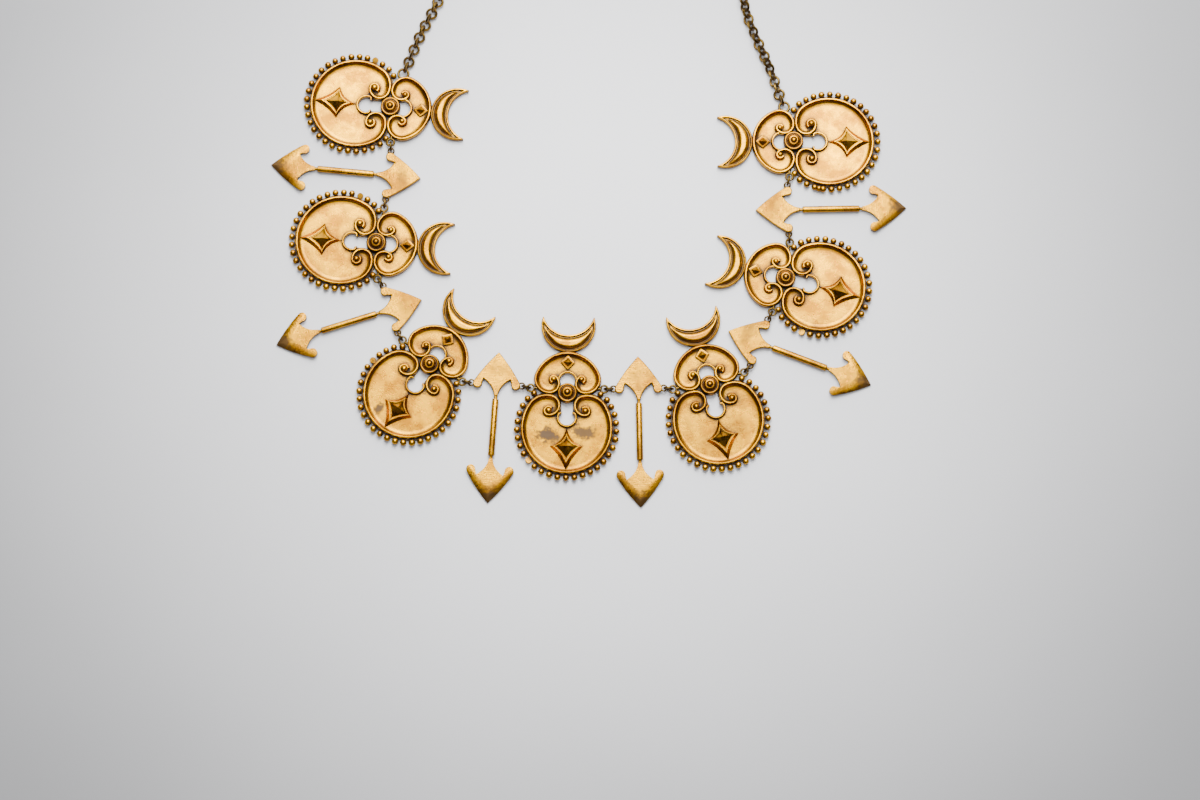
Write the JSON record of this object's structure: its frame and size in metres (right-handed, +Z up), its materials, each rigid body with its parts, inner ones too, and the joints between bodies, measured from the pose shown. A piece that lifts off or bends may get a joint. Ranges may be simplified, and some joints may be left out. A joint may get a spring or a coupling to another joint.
{
  "type": "bib necklace",
  "caption": "Bib necklace of cast keyhole medallions with crescents, double-headed arrows between them, joined by small rings and closed by a round-link chain.",
  "frame": {"origin": "middle of the necklace's outline, on the surface that it lies on", "axes": "+X to the right and +Y toward the hook as it lies, +Z up out of the surface; the middle medallion is at the -Y end"},
  "size_m": [0.2047, 0.2155, 0.0042],
  "materials": {
    "cast_gold": "matte antique gold plate with dark brown patina in the recesses",
    "ring_brass": "worn antique brass wire",
    "chain_brass": "dark antique brass wire"
  },
  "bodies": {
    "root": {"medallion_1": "cast_gold", "medallion_2": "cast_gold", "medallion_3": "cast_gold", "medallion_4": "cast_gold", "medallion_5": "cast_gold", "medallion_6": "cast_gold", "medallion_7": "cast_gold", "arrow_1": "cast_gold", "arrow_2": "cast_gold", "arrow_3": "cast_gold", "arrow_4": "cast_gold", "arrow_5": "cast_gold", "arrow_6": "cast_gold", "jump_ring_1": "ring_brass", "jump_ring_2": "ring_brass", "jump_ring_3": "ring_brass", "jump_ring_4": "ring_brass", "jump_ring_5": "ring_brass", "jump_ring_6": "ring_brass", "jump_ring_7": "ring_brass", "jump_ring_8": "ring_brass", "jump_ring_9": "ring_brass", "jump_ring_10": "ring_brass", "jump_ring_11": "ring_brass", "jump_ring_12": "ring_brass", "first_link_left": "chain_brass", "first_link_right": "chain_brass", "last_link_left": "chain_brass", "last_link_right": "chain_brass", "chain_left": "chain_brass", "chain_right": "chain_brass", "hook": "chain_brass"}
  },
  "joints": []
}
